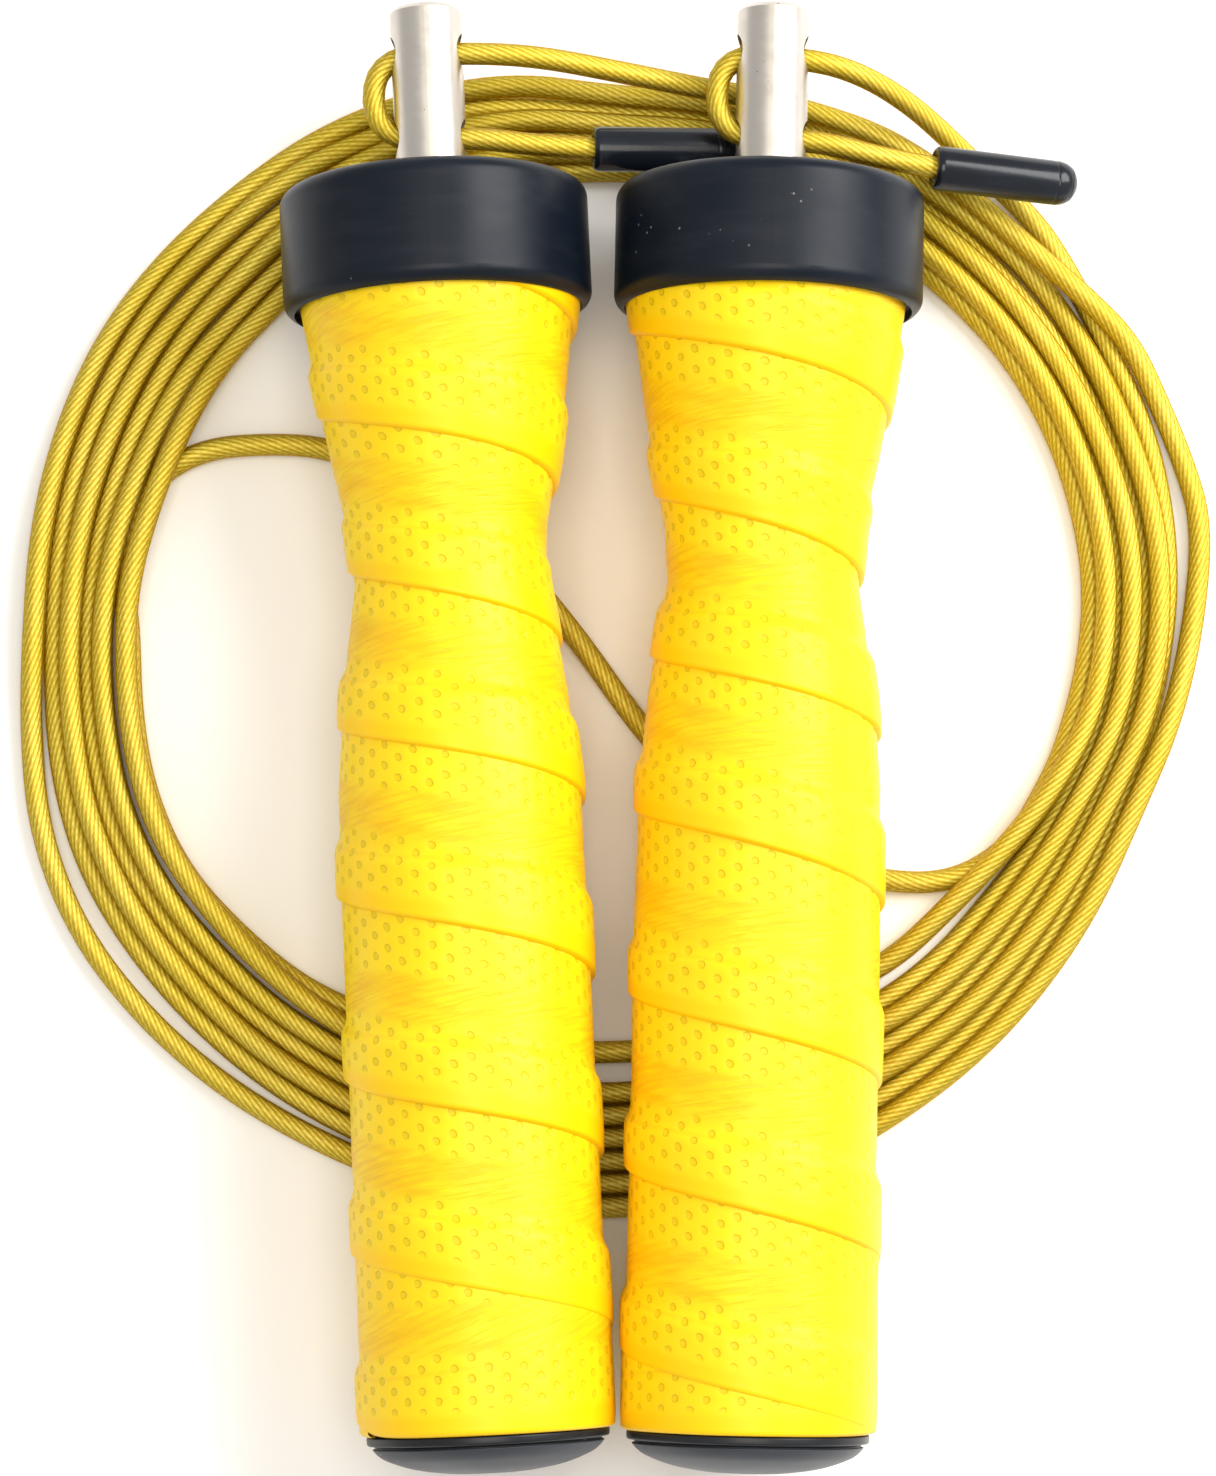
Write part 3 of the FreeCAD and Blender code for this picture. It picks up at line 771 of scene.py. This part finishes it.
# Corners of the outlines: (along, radius, rounding), mm.
CAP_PROFILE = [
    (-89.6, 0.01, 0.0), (-89.6, 14.6, 0.3), (-90.55, 15.0, 0.2), (-90.7, 15.55, 0.25), (-91.75, 15.5, 0.3),
    (-91.85, 14.55, 0.15), (-92.15, 14.45, 0.1), (-92.2, 14.9, 0.25), (-93.4, 13.9, 1.0), (-95.0, 10.2, 2.5),
    (-95.75, 5.0, 1.2), (-95.8, 0.01, 0.0),
]
TIP_PROFILE = [
    (15.5, 1.52, 0.0), (17.4, 1.56, 0.3), (17.7, 2.0, 0.25), (17.75, 2.65, 0.35), (17.1, 2.96, 0.3),
    (6.0, 2.97, 1.0), (1.25, 2.96, 0.1), (1.15, 2.90, 0.05), (1.0, 2.96, 0.1), (0.6, 2.95, 0.2),
    (-0.6, 2.72, 0.8), (-1.55, 1.85, 0.7), (-2.0, 0.7, 0.5), (-2.05, 0.01, 0.0),
]


def rounded(profile, steps=5):
    """(along, radius, rounding) corners as a line of (along, radius) with each corner rounded."""
    line = []
    for i, (a, r, size) in enumerate(profile):
        here = np.array([a, r], float)
        if size == 0 or i in (0, len(profile) - 1):
            line.append(here)
            continue
        before, after = (np.array(profile[j][:2], float) - here for j in (i - 1, i + 1))
        start = here + before / np.linalg.norm(before) * size
        end = here + after / np.linalg.norm(after) * size
        for k in range(steps + 1):
            t = k / steps
            line.append((1 - t) ** 2 * start + 2 * t * (1 - t) * here + t * t * end)
    return np.array(line)


def turned(line, sides, wobble=0.0):
    """Rings of (along, across, up) points, mm, about the along axis. wobble is a share of the radius."""
    angle = np.arange(sides) * 2 * math.pi / sides
    along = np.repeat(line[:, :1], sides, axis=1)
    uneven = waves(along * WOBBLE_ALONG, WOBBLE_ROUND * np.cos(angle)[None, :], WOBBLE_SEED)
    radius = np.repeat(line[:, 1:], sides, axis=1) * (1 + wobble * uneven)
    return along, radius * np.cos(angle), radius * np.sin(angle)


def butt_cap(side):
    """The domed plug in the butt: a black rim, a fine groove and a satin face."""
    along, across, up = turned(rounded(CAP_PROFILE), CAP_SIDES)
    points = handle_points(side, across, along, up).reshape(-1, 3) * MM
    faces = grid_faces(along.shape[0], CAP_SIDES, True)[:, ::-1]
    cap = mesh_object(side + "_domed_cap", points, faces, cap_black)
    cap.data.materials.append(cap_satin)
    on_face = np.repeat(along[:-1].mean(axis=1) < DOME_START, CAP_SIDES)
    cap.data.polygons.foreach_set("material_index", on_face.astype(int))
    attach(cap, side + "_handle")
    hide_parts(side + "_butt_cap")


def rope_tip(side, tail):
    """A moulded tip over the rope's end: an open mouth with a thick wall, a parting line and a round end."""
    end = np.array(tail[0])
    way = np.array(tail[2]) - end
    way /= np.linalg.norm(way)
    flat = np.cross(way, (0.0, 0.0, 1.0))
    flat /= np.linalg.norm(flat)
    rise = np.cross(flat, way)
    along, across, up = turned(rounded(TIP_PROFILE), TIP_SIDES, TIP_WOBBLE)
    points = end + along[..., None] * way + across[..., None] * flat + up[..., None] * rise
    faces = grid_faces(along.shape[0], TIP_SIDES, True)
    tip = mesh_object(side + "_vinyl_tip", points.reshape(-1, 3) * MM, faces, vinyl_tip)
    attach(tip, "rope")
    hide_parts(side + "_rope_tip")
    return tip


for side in SIDES:
    butt_cap(side)
tips = [rope_tip("left", LEFT_TAIL), rope_tip("right", RIGHT_TAIL)]

# ---------------------------------------------------------------- floor and lights
FLOOR_SIZE = 3.0


def floor_material():
    n = Nodes("floor")
    cloud = n.noise(n.place(), 3.0, 2.0)
    colour = n.mix(cloud, (0.92, 0.92, 0.92), (0.95, 0.95, 0.95))
    return n.finish(n.add("BsdfPrincipled", {"Base Color": colour, "Roughness": 0.6}))


half = FLOOR_SIZE / 2
floor_corners = [(-half, -half, 0), (half, -half, 0), (half, half, 0), (-half, half, 0)]
floor = mesh_object("floor", floor_corners, [(0, 1, 2, 3)], floor_material())


def area_light(name, place, target, size, power, colour=(1.0, 1.0, 1.0)):
    data = bpy.data.lights.new(name, "AREA")
    data.shape = "RECTANGLE"
    data.size, data.size_y = size
    data.energy = power
    data.color = colour
    lamp = bpy.data.objects.new(name, data)
    lamp.location = place
    lamp.rotation_euler = (Vector(target) - Vector(place)).to_track_quat("-Z", "Y").to_euler()
    bpy.context.scene.collection.objects.link(lamp)


area_light("key", (0.62, 0.30, 0.62), (0.0, 0.0, 0.0), (0.6, 0.6), 9.5)
area_light("overhead", (0.0, -0.05, 1.0), (0.0, 0.0, 0.0), (0.5, 0.5), 4.4, (1.0, 0.93, 0.82))

world = bpy.data.worlds.new("studio")
world.use_nodes = True
background = world.node_tree.nodes["Background"]
background.inputs["Color"].default_value = (1.0, 1.0, 1.0, 1.0)
background.inputs["Strength"].default_value = 0.61
bpy.context.scene.world = world
